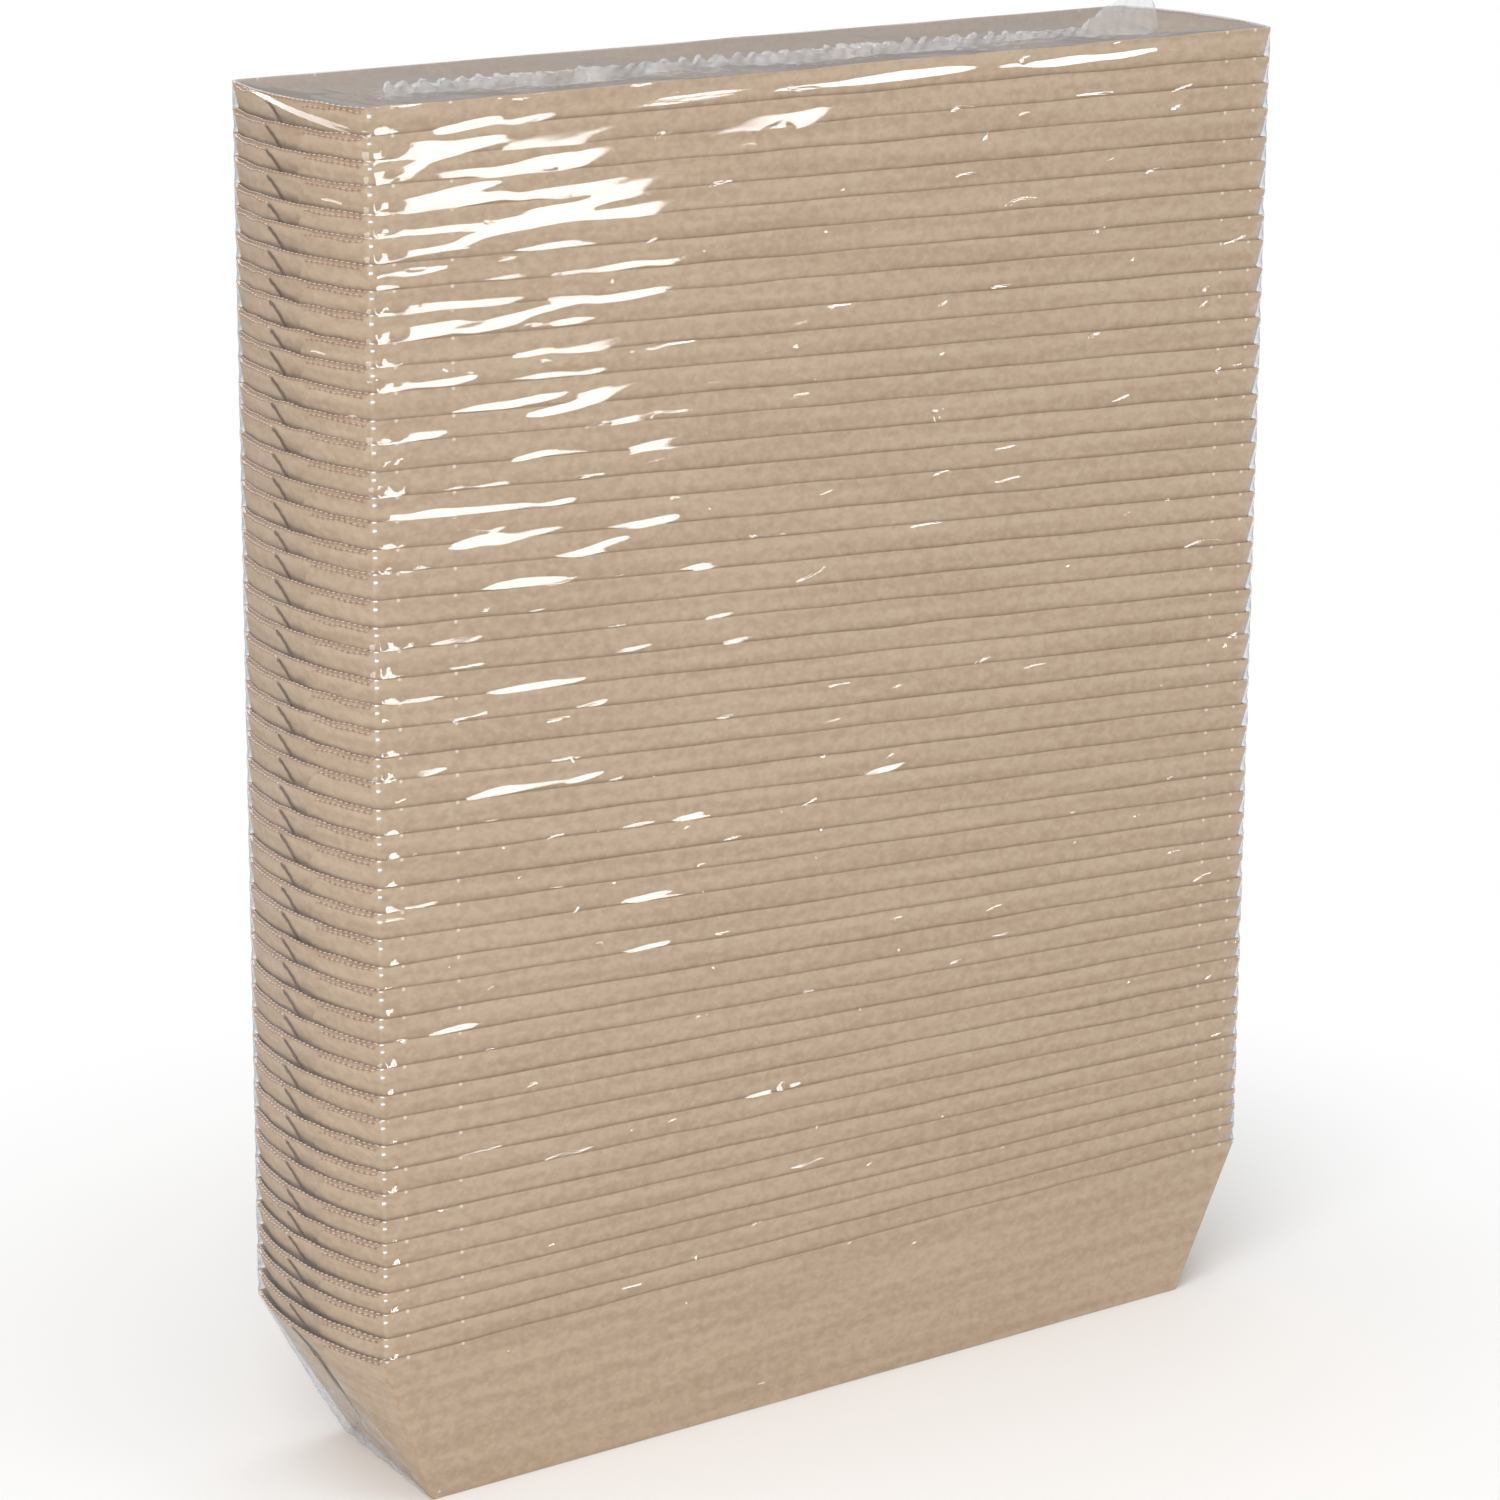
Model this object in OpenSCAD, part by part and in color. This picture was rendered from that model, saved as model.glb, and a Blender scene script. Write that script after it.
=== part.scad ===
// Stack of nested paperboard snack trays in a clear shrink-film hood.
// Long sides run along X, short ends face -X and +X, and Z is up.
// The origin is under the middle of the stack, on the surface it stands on.
// Each tray is folded from one blank: a flat base, two long walls and two end walls.
// The long walls carry flaps that wrap round the corners and are glued on the end walls.

/* [Tray] */
// Length of a tray along its rim, corner to corner
rim_l = 200; // [160:1:260]
// Width of a tray across its rim
rim_w = 43; // [38:1:80]
// Height of a tray
tray_h = 30; // [26:1:45]
// Lean of the long walls from upright, in degrees
side_lean = 5.7; // [4.5:0.1:9]
// Lean of the end walls' corners from upright, in degrees
end_lean = 21.1; // [15:0.1:28]
// How far the middle of an end's rim bows out past its corners
end_bow = 3.8; // [2:0.1:7]
// Thickness of the board
board_t = 0.3; // [0.2:0.05:0.4]

/* [End flaps] */
// Distance from the tray's middle line to the front flap's edge at the rim
front_flap_gap = 6.5; // [3:0.1:9]
// Distance from the tray's middle line to the back flap's edge at the rim
back_flap_gap = 4.2; // [3:0.1:9]
// Depth below the rim at which the two flaps meet
flap_meet = 7; // [4:0.1:10]
// Place of the line where the flaps meet, across the tray
flap_mid = -0.5; // [-2:0.1:2]
// Gap between the flaps below that place
flap_slit = 0.5; // [0.3:0.1:1]
// Rise of the flaps' lower edges towards the middle, in degrees
flap_rise = 30; // [20:1:36]
// Width of a flap's foot beside the base corner
flap_foot = 1; // [0.5:0.1:3]
// Step from the end wall's rim down to the flaps' top edges
flap_drop = 0.5; // [0.3:0.1:1]
// Radius of the flaps' top corners
flap_round = 1.6; // [0.5:0.1:2]

/* [Stack] */
// Number of trays in the stack
tray_count = 50; // [10:1:58]
// Play between one tray and the next high up, past the step at which they jam
nest_play = 1.64; // [0.5:0.01:3]
// Share of that play by which the steps differ from tray to tray
play_scatter = 0.25; // [0:0.05:0.4]
// Share of that play which the weight above takes out at the bottom of the stack
weight_squeeze = 0.5; // [0:0.05:0.5]
// Endwise lean of the trays in mid-stack, as a share of what the least play allows
slump = 0.88; // [0:0.01:0.95]
// How far the film has pushed in the lowest tray's back left base corner
push_in = 6; // [0:0.5:7]

/* [Film] */
// Thickness of the film
film_t = 0.1; // [0.05:0.05:0.3]
// Clearance between the trays and the film
film_clear = 0.2; // [0.1:0.05:1]
// How far the film turns in under the lowest tray's base, round an open middle
hem_w = 8; // [4:0.5:12]
// Height of the welded seal that stands on the top
seal_h = 2.2; // [1:0.1:5]
// Distance from the left rim corners to the left end of the seal
seal_left = 17; // [5:1:30]
// Distance from the right rim corners to the right end of the seal
seal_right = 10; // [5:1:30]
// Height of the ear at the right end of the seal
ear_h = 6; // [5.5:0.1:9]
// Length of the ear along the seal
ear_l = 15; // [8:1:30]

/* [Hidden] */
// Number of flats in a bowed end
bow_steps = 8;
// Number of flats in a flap's rounded corner
round_steps = 3;
// Thickness of the slabs that a tray's form is hulled from, trimmed off afterwards
slab_t = 0.01;
// How far cutting forms run past the faces that they cut
over = 1;
// Share of the weight's squeeze that is left one tray further up
squeeze_kept = 0.9;

base_l = rim_l - 2 * tray_h * tan(end_lean);
base_w = rim_w - 2 * tray_h * tan(side_lean);
side_wall = board_t / cos(side_lean);
end_layer = board_t / cos(end_lean);

// Height step at which a tray jams in the one below: long walls touch, or the ends do.
jam_step = max(board_t / sin(side_lean), 2 * board_t / sin(end_lean));
last = tray_count - 1;
quasi_random_turn = 137.5;

function play(i) = nest_play * (1 - weight_squeeze * pow(squeeze_kept, i)
                                + play_scatter * sin(i * quasi_random_turn));
function seat(i) = i == 0 ? film_t : seat(i - 1) + jam_step + play(i - 1);
// The push fades upwards, so each tray still nests in the one below.
function push_of(i) = max(0, push_in * (1 - (seat(i) - film_t) / tray_h));
// The left ends of the trays in mid-stack sit higher than their right ends. From tray
// to tray the difference changes by less than twice the least play, so none jams.
least_play = nest_play * (1 - weight_squeeze - play_scatter);
function lean_of(i) =
    asin(2 * slump * least_play * last / PI * sin(180 * i / last) / rim_l);

low_rim_z = seat(0) + tray_h;
top_rim_z = seat(last) + tray_h;
film_top_z = top_rim_z + film_clear + film_t;

function two_digits(n) = str(n < 10 ? "0" : "", n);
function tray_name(i) = str("tray_", two_digits(i + 1));

// Points along an end from its front corner to its back corner, bowed out by an arc.
function end_points(half_l, half_w, bow) =
    bow == 0 ? [[half_l, -half_w], [half_l, half_w]]
    : let (r = (half_w * half_w + bow * bow) / (2 * bow), reach = asin(half_w / r))
      [for (i = [0 : bow_steps])
          let (a = reach * (2 * i / bow_steps - 1))
          [half_l + bow - r + r * cos(a), r * sin(a)]];

// Plan outline with both ends bowed, and the back left corner pushed in.
function outline(half_l, half_w, bow, push) =
    let (right = end_points(half_l, half_w, bow), n = len(right) - 1)
    concat(right, [for (i = [0 : n])
        [-right[n - i][0] + (i == 0 ? push : 0), right[n - i][1]]]);

// Points of an arc of radius r that rounds the corner b between a and c.
function rounded(a, b, c, r) =
    let (u = (a - b) / norm(a - b), v = (c - b) / norm(c - b),
         half = acos(u * v) / 2, mid = (u + v) / norm(u + v),
         centre = b + mid * r / sin(half), turn = 90 - half,
         start = atan2(-mid[1], -mid[0]),
         way = sign(u[0] * v[1] - u[1] * v[0]))
    [for (i = [0 : round_steps])
        let (t = start + way * turn * (1 - 2 * i / round_steps))
        centre + r * [cos(t), sin(t)]];

module slab(points, z, thickness) {
    translate([0, 0, z]) linear_extrude(thickness) polygon(points);
}

// Keeps what lies between two heights.
module trim(z_low, z_high) {
    intersection() {
        children();
        translate([-rim_l, -rim_w, z_low]) cube([2 * rim_l, 2 * rim_w, z_high - z_low]);
    }
}

// Tapering form of a tray from its straight-ended base to its bowed rim, moved in
// by side_in at the long walls and by end_in at the ends.
module tray_form(side_in, end_in, push) {
    hull() {
        slab(outline(base_l / 2 - end_in, base_w / 2 - side_in, 0, push), -slab_t, slab_t);
        slab(outline(rim_l / 2 - end_in, rim_w / 2 - side_in, end_bow, 0), tray_h, over);
    }
}

// What the flaps leave bare of the end walls, seen along the tray: the strip above
// them, the notch between their tops, the slit, and the space below their lower edges.
module bare_of_flaps() {
    foot_y = base_w / 2 - flap_foot;
    apex_z = (foot_y - flap_slit / 2) * tan(flap_rise);
    meet_z = tray_h - flap_meet;
    flap_top_z = tray_h - flap_drop;
    corner_y = rim_w / 2 - 3 * flap_drop;
    front = [flap_mid - flap_slit / 2, meet_z];
    back = [flap_mid + flap_slit / 2, meet_z];
    points = concat(
        [[-foot_y, -over], [-foot_y, 0], [flap_mid - flap_slit / 2, apex_z], front],
        rounded(front, [-front_flap_gap, flap_top_z], [-corner_y, flap_top_z], flap_round),
        [[-corner_y, flap_top_z], [-corner_y, tray_h + over]],
        [[corner_y, tray_h + over], [corner_y, flap_top_z]],
        rounded([corner_y, flap_top_z], [back_flap_gap, flap_top_z], back, flap_round),
        [back, [flap_mid + flap_slit / 2, apex_z], [foot_y, 0], [foot_y, -over]]);
    rotate([90, 0, 90])
        linear_extrude(rim_l + 2 * (end_bow + over), center = true) polygon(points);
}

module tray(push) {
    color([0.73, 0.63, 0.53]) difference() {
        trim(0, tray_h) tray_form(0, 0, push);
        trim(board_t, tray_h + over) tray_form(side_wall, 2 * end_layer, push);
        difference() {
            bare_of_flaps();
            tray_form(0, end_layer, push);
        }
    }
}

// Form of the film hood: it follows the lowest tray up to its rim, then runs straight up.
module hood_form(grow, z_top) {
    hull() {
        slab(outline(base_l / 2 + grow, base_w / 2 + grow, 0, push_in), -slab_t, slab_t);
        slab(outline(rim_l / 2 + grow, rim_w / 2 + grow, end_bow, 0),
             low_rim_z, z_top - low_rim_z);
    }
}

// Seal on the top, with its ear at the right end, as a doubled film standing along X.
module seal() {
    x_left = -rim_l / 2 + seal_left;
    x_right = rim_l / 2 - seal_right;
    rotate([90, 0, 0]) linear_extrude(2 * film_t, center = true) polygon([
        [x_left, film_top_z - film_t],
        [x_right, film_top_z - film_t],
        [x_right - ear_l / 8, film_top_z + ear_h],
        [x_right - ear_l / 2, film_top_z + (ear_h + seal_h) / 2],
        [x_right - ear_l, film_top_z + seal_h],
        [x_left, film_top_z + seal_h]]);
}

module shrink_film() {
    color([0.80, 0.83, 0.86, 0.35]) union() {
        difference() {
            trim(0, film_top_z) hood_form(film_clear + film_t, film_top_z);
            trim(film_t, film_top_z - film_t) hood_form(film_clear, film_top_z - film_t);
            slab(outline(base_l / 2 - hem_w, base_w / 2 - hem_w, 0, push_in), -over, 2 * over);
        }
        seal();
    }
}

for (i = [0 : last])
    translate([0, 0, seat(i) + tray_h]) rotate([0, lean_of(i), 0])
            translate([0, 0, -tray_h]) tray(push_of(i));
shrink_film();
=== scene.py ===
"""A tall stack of nested kraft snack trays in clear shrink film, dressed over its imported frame."""

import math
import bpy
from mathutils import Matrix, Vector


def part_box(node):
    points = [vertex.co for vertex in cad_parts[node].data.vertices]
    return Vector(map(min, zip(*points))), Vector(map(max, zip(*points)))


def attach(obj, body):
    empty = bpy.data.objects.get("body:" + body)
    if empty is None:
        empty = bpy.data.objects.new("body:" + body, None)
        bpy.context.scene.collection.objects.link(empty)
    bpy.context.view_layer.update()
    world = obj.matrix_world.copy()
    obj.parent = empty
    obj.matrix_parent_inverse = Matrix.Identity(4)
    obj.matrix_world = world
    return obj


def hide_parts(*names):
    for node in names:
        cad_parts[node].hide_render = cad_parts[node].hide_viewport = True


bl_info = {
    "name": "Stack of Snack Trays",
    "version": (1, 0, 0),
    "blender": (4, 5, 0),
    "location": "3D View > Sidebar > Tray Stack",
    "description": "Board, shrink film and studio for a wrapped stack of folded snack trays",
    "category": "Object",
}

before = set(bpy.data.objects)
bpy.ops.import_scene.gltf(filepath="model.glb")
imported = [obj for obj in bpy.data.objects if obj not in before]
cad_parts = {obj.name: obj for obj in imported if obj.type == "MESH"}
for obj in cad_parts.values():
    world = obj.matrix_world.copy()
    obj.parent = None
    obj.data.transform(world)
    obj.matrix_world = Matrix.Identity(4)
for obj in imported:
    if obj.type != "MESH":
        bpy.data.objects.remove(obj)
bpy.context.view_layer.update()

import bpy
import numpy as np
from bpy.props import FloatProperty, FloatVectorProperty, PointerProperty
from mathutils import Matrix, Vector

TRAYS = sorted(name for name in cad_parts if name.startswith("tray_"))
MM = 0.001
SHARP_ANGLE = math.radians(40)
# Trays: how far from a corner the board starts to turn, and the flaps and rims' edges.
CORNER_TURN = 0.5 * MM
FLAP_MEET = 7 * MM
FLAP_DROP = 0.5 * MM
FLAP_FOOT = 17.5 * MM
FLAP_PITCH = 1.35 * MM
FLAP_TEETH = 0.34 * MM
END_PITCH = 1.3 * MM
END_TEETH = 0.3 * MM
# Places along the rims of small torn nick points, where pale highlights are painted.
NICK_HIGHLIGHT_PLACES = (-95 * MM, -83.5 * MM, 89 * MM, 96 * MM)
# How far a tray counts as above the one below where there is none below.
NO_TRAY_BELOW = 1.5 * MM
# Film: where its corners start to turn, and the two ends of the weld on its top.
FILM_CORNER_TURN = 1.0 * MM
WELD_LEFT = -83 * MM
WELD_RIGHT = 90 * MM
# Rows of film from one rim to the next, as shares of the step between the rims, and
# at each row how strong the painted highlight is where it touches board, and the
# painted shade where it is hollow behind it.
BAND_ROWS = np.array([0.0, 0.1, 0.25, 0.45, 0.7, 0.9])
BAND_GLINT_DOTS = np.array([1.0, 0.3, 0.0, 0.0, 1.0, 0.2])
BAND_HOLLOW_SHADE = np.array([0.2, 0.8, 1.0, 0.8, 0.3, 0.0])
# Marks on the film: flat on top (with a painted grey shade), painted highlight dots where
# it touches board, how far below the top rim, painted shade over a hollow behind, and crumpled.
FILM_MARKS = ("flat_top", "touch", "below", "gap", "crumple")
FAR_BELOW = 250 * MM


class Wire:
    """An output of a shader node; arithmetic signs on it add Math nodes."""

    def __init__(self, tree, socket=None):
        self.tree = tree
        self.socket = socket

    def node(self, kind, inputs=None, out=0, **settings):
        """Adds a node of any kind: its settings first, then values or wires for its inputs."""
        made = self.tree.nodes.new(kind)
        for name, value in settings.items():
            setattr(made, name, value)
        for name, value in (inputs or {}).items():
            if isinstance(value, Wire):
                self.tree.links.new(value.socket, made.inputs[name])
            else:
                made.inputs[name].default_value = value
        return Wire(self.tree, made.outputs[out])

    def math(self, operation, *values):
        """A Math node on this value and the others."""
        given = dict(enumerate((self,) + values))
        return self.node("ShaderNodeMath", given, operation=operation)

    def __add__(self, other):
        return self.math("ADD", other)

    def __sub__(self, other):
        return self.math("SUBTRACT", other)

    def __rsub__(self, other):
        return self.math("MULTIPLY_ADD", -1.0, other)

    def __mul__(self, other):
        return self.math("MULTIPLY", other)

    def fade(self, low, high, start=0.0, end=1.0):
        """Goes smoothly from start to end while this value goes from low to high."""
        return self.node(
            "ShaderNodeMapRange",
            {"Value": self, "From Min": low, "From Max": high, "To Min": start, "To Max": end},
            interpolation_type="SMOOTHSTEP",
        )

    def other(self, name):
        """Another output of the node that this one comes from."""
        return Wire(self.tree, self.socket.node.outputs[name])

    def near(self, value, full, none):
        """Is 1 where this value is within the first reach of another value, and fades
        to 0 at the second reach."""
        return (self - value).math("ABSOLUTE").fade(none, full)

    def noise(self, scale, detail, roughness=0.5):
        """Noise on this vector."""
        return self.node(
            "ShaderNodeTexNoise",
            {"Vector": self, "Scale": scale, "Detail": detail, "Roughness": roughness},
        )

    def turned(self, degrees):
        """This vector turned about the Y axis, so that lines rising to +X lie level."""
        return self.node("ShaderNodeVectorRotate", {
            "Vector": self, "Angle": math.radians(degrees)}, rotation_type="Y_AXIS")

    def stretch(self, *scale):
        """This vector with each axis scaled."""
        return self.node("ShaderNodeVectorMath", {0: self, 1: scale}, operation="MULTIPLY")

    def axis(self, number):
        """One of this vector's three parts."""
        return self.node("ShaderNodeSeparateXYZ", {0: self}, out=number)

    def mark(self, name):
        """A value that the mesh carries at its points."""
        return self.node("ShaderNodeAttribute", attribute_name=name, out=2)

    def place(self):
        """The place on the piece, which is the place in the frame."""
        return self.node("ShaderNodeTexCoord", out=3)

    def blend(self, first, second):
        """Two colours mixed; this amount is the second one's share."""
        return self.node(
            "ShaderNodeMix", {0: self, 6: first, 7: second}, out=2, data_type="RGBA"
        )

    def tint(self, other, amount):
        """This colour mixed towards another by an amount."""
        return amount.blend(self, other)


def new_material(name):
    """An empty node material, and the wire that its nodes start from."""
    material = bpy.data.materials.new(name)
    material.use_nodes = True
    material.node_tree.nodes.clear()
    return material, Wire(material.node_tree)


def close_material(shader):
    """Leads a shader to the material's output."""
    output = shader.tree.nodes.new("ShaderNodeOutputMaterial")
    shader.tree.links.new(shader.socket, output.inputs["Surface"])


def colour(hex_rgb):
    """A screen colour such as 0xC8A078 as linear light, with full opacity."""
    parts = [(hex_rgb >> shift & 255) / 255 for shift in (16, 8, 0)]
    linear = [c / 12.92 if c < 0.04045 else ((c + 0.055) / 1.055) ** 2.4 for c in parts]
    return (*linear, 1.0)


# Colours of small marks in the board, painted shade and painted highlights among them,
# and the painted shade of the film between two rims at a corner.
PALE_FIBRE = colour(0xE6D9C8)
DARK_FIBRE = colour(0x8A6844)
# Painted shade in the crevice just above the rim of the tray below.
CREVICE_SHADE = colour(0x6A4A34)
CUT_EDGE = colour(0x94664E)
# Painted highlight on the tips of the sawn teeth.
TOOTH_TIP_HIGHLIGHT = colour(0xF6EFE8)
SHADED_EDGE = colour(0x54392A)
# Painted highlight: the pale spot at each nick place on the rims.
NICK_HIGHLIGHT = colour(0xF4EEE6)
# Painted shade: the film's grey-blue where it spans a hollow between two rims at a corner.
FILM_HOLLOW_SHADE = colour(0x8E9AA8)
WHITE = (1, 1, 1, 1)


def wander(x, z, reach_x, reach_z, seed):
    """Smooth value near -1 to 1: six sine waves with lengths near the two reaches,
    whose directions and phases are drawn from the seed, added up."""
    draw = np.random.default_rng(seed)
    total = np.zeros(np.broadcast(x, z).shape)
    for _ in range(6):
        wave_x = draw.uniform(0.6, 1.7) * 2 * math.pi / reach_x
        wave_z = draw.uniform(0.6, 1.7) * 2 * math.pi / reach_z * draw.choice([-1, 1])
        total += np.sin(wave_x * x + wave_z * z + draw.uniform(0, 2 * math.pi))
    return total / 2.5


def grid_quads(rows, cols, wrap=False):
    """Corner numbers of a grid's faces; with wrap the last column joins the first."""
    index = np.arange(rows * cols).reshape(rows, cols)
    if wrap:
        index = np.hstack([index, index[:, :1]])
    return np.stack(
        [index[:-1, :-1], index[:-1, 1:], index[1:, 1:], index[1:, :-1]], axis=-1
    ).reshape(-1, 4)


def board_sheet(outer, inner, grain, above, cut=0.0):
    """A sheet of board between two grids of points: both faces, and a strip along the
    borders that closes them. Its faces are turned so that its volume is positive, which
    faces it out. Returns points, faces, grain places, and the marks cut and above."""
    rows, cols = outer.shape[:2]
    count = rows * cols
    index = np.arange(count).reshape(rows, cols)
    loop = np.concatenate(
        [index[0, :], index[1:, -1], index[-1, -2::-1], index[-2:0:-1, 0]]
    )
    after = np.roll(loop, -1)
    face = grid_quads(rows, cols)
    strip = np.stack([after, loop, loop + count, after + count], axis=-1)
    quads = np.vstack([face, face[:, ::-1] + count, strip])
    points = np.vstack([outer.reshape(-1, 3), inner.reshape(-1, 3)])
    a, b, c, d = (points[quads[:, k]] for k in range(4))
    volume = np.sum(a * np.cross(b, c)) + np.sum(a * np.cross(c, d))
    if volume < 0:
        quads = quads[:, ::-1]
    uv = np.vstack([grain.reshape(-1, 2), grain.reshape(-1, 2)])
    marks = np.stack([cut + 0 * outer[..., 0], above + 0 * outer[..., 0]], axis=-1)
    return points, quads, uv, np.tile(marks.reshape(-1, 2), (2, 1))


def join_sheets(sheets):
    """Several sheets as one set of points, faces, grain places and marks."""
    points, quads, uvs, marks = [], [], [], []
    start = 0
    for sheet_points, sheet_quads, sheet_uv, sheet_marks in sheets:
        points.append(sheet_points)
        quads.append(sheet_quads + start)
        uvs.append(sheet_uv)
        marks.append(sheet_marks)
        start += len(sheet_points)
    return np.vstack(points), np.vstack(quads), np.vstack(uvs), np.vstack(marks)


def make_piece(name, points, quads, material, marks, uv=None):
    """Puts points and faces into a smooth mesh object that rides on the root body, with
    its marks on the points."""
    mesh = bpy.data.meshes.new(name)
    mesh.vertices.add(len(points))
    mesh.vertices.foreach_set("co", np.ascontiguousarray(points, np.float32).ravel())
    mesh.loops.add(quads.size)
    mesh.loops.foreach_set("vertex_index", np.ascontiguousarray(quads, np.int32).ravel())
    mesh.polygons.add(len(quads))
    mesh.polygons.foreach_set("loop_start", np.arange(0, quads.size, 4, dtype=np.int32))
    mesh.update(calc_edges=True)
    if uv is not None:
        layer = mesh.uv_layers.new(name="grain")
        layer.data.foreach_set("uv", uv[quads.ravel()].astype(np.float32).ravel())
    for mark, values in marks.items():
        layer = mesh.attributes.new(mark, "FLOAT", "POINT")
        layer.data.foreach_set("value", np.ascontiguousarray(values, np.float32).ravel())
    mesh.shade_smooth()
    mesh.set_sharp_from_angle(angle=SHARP_ANGLE)
    mesh.materials.append(material)
    piece = bpy.data.objects.new(name, mesh)
    bpy.context.scene.collection.objects.link(piece)
    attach(piece, "root")
    return piece


class TrayForm:
    """The folded form of one tray, worked out from the sizes in the sidebar."""

    def __init__(self, sizes, rim, push=0.0, lean=0.0, seed=0, below=None):
        self.sizes = sizes
        self.below = below
        self.rim = rim
        self.push = push
        self.lean = lean
        self.seed = seed
        # The lowest tray, and the form that the film follows, aren't bent upright.
        self.upright = sizes.upright if seed > 1 else 0.0
        self.height = sizes.tray_height
        self.base_x = sizes.rim_length / 2 - self.height * math.tan(sizes.end_lean)
        self.base_y = sizes.rim_width / 2 - self.height * math.tan(sizes.side_lean)
        self.rim_x = sizes.rim_length / 2
        self.rim_y = sizes.rim_width / 2
        self.radius = (self.rim_y**2 + sizes.end_bow**2) / (2 * sizes.end_bow)
        self.side_layer = sizes.board / math.cos(sizes.side_lean)
        self.end_layer = sizes.board / math.cos(sizes.end_lean)

    def half_width(self, t):
        """Half the width at a share t of the height: from the base's to the rim's."""
        return self.base_y + (self.rim_y - self.base_y) * t

    def gap(self, side):
        """From the middle line to the edge of the front or back flap, at the rim."""
        return self.sizes.front_gap if side < 0 else self.sizes.back_gap

    def end(self, across, t, left, inset):
        """Points of an end face: flat in the middle, where the straight base edge is
        carried up, and round it the rim's arc shrunk in proportion to the height."""
        half = self.half_width(t)
        y = across * half
        flat = (1 - t) * self.base_y
        reach = np.clip((np.abs(y) - flat) / np.maximum(t, 1e-3), 0, self.rim_y)
        bow = np.sqrt(self.radius**2 - reach**2) - self.radius + self.sizes.end_bow
        x = (1 - t) * self.base_x + t * (self.rim_x + bow) - inset + self.bend(t)
        if left:
            x = x - self.push * (1 - t) * (across + 1) / 2
        return x, y

    def bend(self, t):
        """The film presses the flared ends upright where they show above the tray
        below: out by a set amount at that depth, and back to nothing at rim and base."""
        down = 1 - t
        shown = 0.15
        return self.upright * np.minimum(down / shown, (1 - down) / (1 - shown))

    def wall(self, along, t, side, inset):
        """Points of a long wall: a flat face that leans out from base to rim."""
        back_left = self.push * (1 - t) * (side > 0)
        x_high = (1 - t) * self.base_x + t * self.rim_x + self.bend(t)
        x_low = back_left - x_high
        x = x_low + (x_high - x_low) * (along + 1) / 2
        y = side * (self.half_width(t) - inset) + 0 * x
        return x, y

    def place(self, x, y, z):
        """Turns points about the middle of the rim by the tray's endwise lean and moves
        them up to their rim. The long walls wander in and out with the film's pull, by
        the same amount for all trays at one height."""
        down = z - self.height
        height = self.rim - x * math.sin(self.lean) + down * math.cos(self.lean)
        x = x * math.cos(self.lean) + down * math.sin(self.lean)
        return np.stack([x, y + wall_pull(self, x, y, height), height], axis=-1)

    def above(self, points):
        """How far points lie above the rim of the tray below."""
        if self.below is None:
            return NO_TRAY_BELOW
        return points[..., 2] - self.below.rim + points[..., 0] * math.sin(self.below.lean)


def wall_pull(form, x, y, z):
    """How far the film's pull moves a long wall in or out at a place on the stack."""
    share = np.clip(np.abs(y) / form.rim_y, 0, 1) ** 8
    fade = np.clip(1 - (x / form.rim_x) ** 4, 0, 1)
    return 0.16 * MM * wander(x, z, 0.07, 0.06, 11) * fade * share


def stack_forms(sizes):
    """The form of every tray, lowest first. The lean rises and falls with half a sine
    wave up the stack, and a rim's middle lies below its solid's top by that lean."""
    last = len(TRAYS) - 1
    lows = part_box(TRAYS[0])[0].z
    reach = sizes.rim_length / 2 + sizes.end_bow - sizes.board
    forms = []
    for number, name in enumerate(TRAYS):
        lean = math.asin(sizes.slump * math.sin(math.pi * number / last) / sizes.rim_length)
        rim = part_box(name)[1].z - reach * math.sin(lean)
        raised = (rim - sizes.tray_height - lows) / sizes.tray_height
        push = max(0.0, sizes.push_in * (1 - raised))
        below = forms[-1] if forms else None
        forms.append(TrayForm(sizes, rim, push, lean, number + 1, below))
    return forms


def saw_edge(s, pitch, depth):
    """Edge cut by a serrated knife: rounded humps with sharp valleys between them."""
    return depth * (1 - np.abs(np.sin(math.pi * s / pitch)))


def spread(knots, counts):
    """Values from knot to knot, with a count of even steps for each stretch."""
    parts = [np.linspace(a, b, n, endpoint=False) for a, b, n in zip(knots, knots[1:], counts)]
    return np.append(np.concatenate(parts), knots[-1])


def flap_edges(form, side, across, seam):
    """A flap's edges at places across the end: heights of the lower edge, heights of the
    upper edge, and the depth of the sawn teeth in the upper one. The seam is where the
    two flaps meet."""
    h = form.height
    y_top = across * form.rim_y
    # The upper edge: the lower of the notch's slope and the level top, rounded.
    meet = h - FLAP_MEET
    top = h - FLAP_DROP
    slope = meet + (y_top - side * seam) * (top - meet) / (form.gap(side) - side * seam)
    reach = (1.2 if side < 0 else 3.4) * MM
    blend = np.clip(0.5 + (top - slope) / (2 * reach), 0, 1)
    high = slope * blend + top * (1 - blend) - reach * blend * (1 - blend)
    # Beside the corner that edge rises to the rim. Elsewhere it is sawn and wavy.
    rise = np.clip((y_top - 20 * MM) / (0.6 * MM), 0, 1)
    wave = wander(y_top + side * 0.1, form.seed * 7.0, 0.011, 9.0, 31)
    teeth = saw_edge(y_top + 0.3 * MM * form.seed, FLAP_PITCH, FLAP_TEETH)
    worn = teeth + 0.12 * MM * wave + 0.2 * MM
    high = high - worn * (1 - rise) + FLAP_DROP * rise
    # The lower edge rises from the base corner, and ends below the notch.
    slope_low = math.tan(form.sizes.flap_rise)
    low = slope_low * (FLAP_FOOT - across * form.base_y) / (1 + 0.1 * slope_low * across)
    return np.clip(low, 0, meet - 2 * MM), high, teeth


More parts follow.
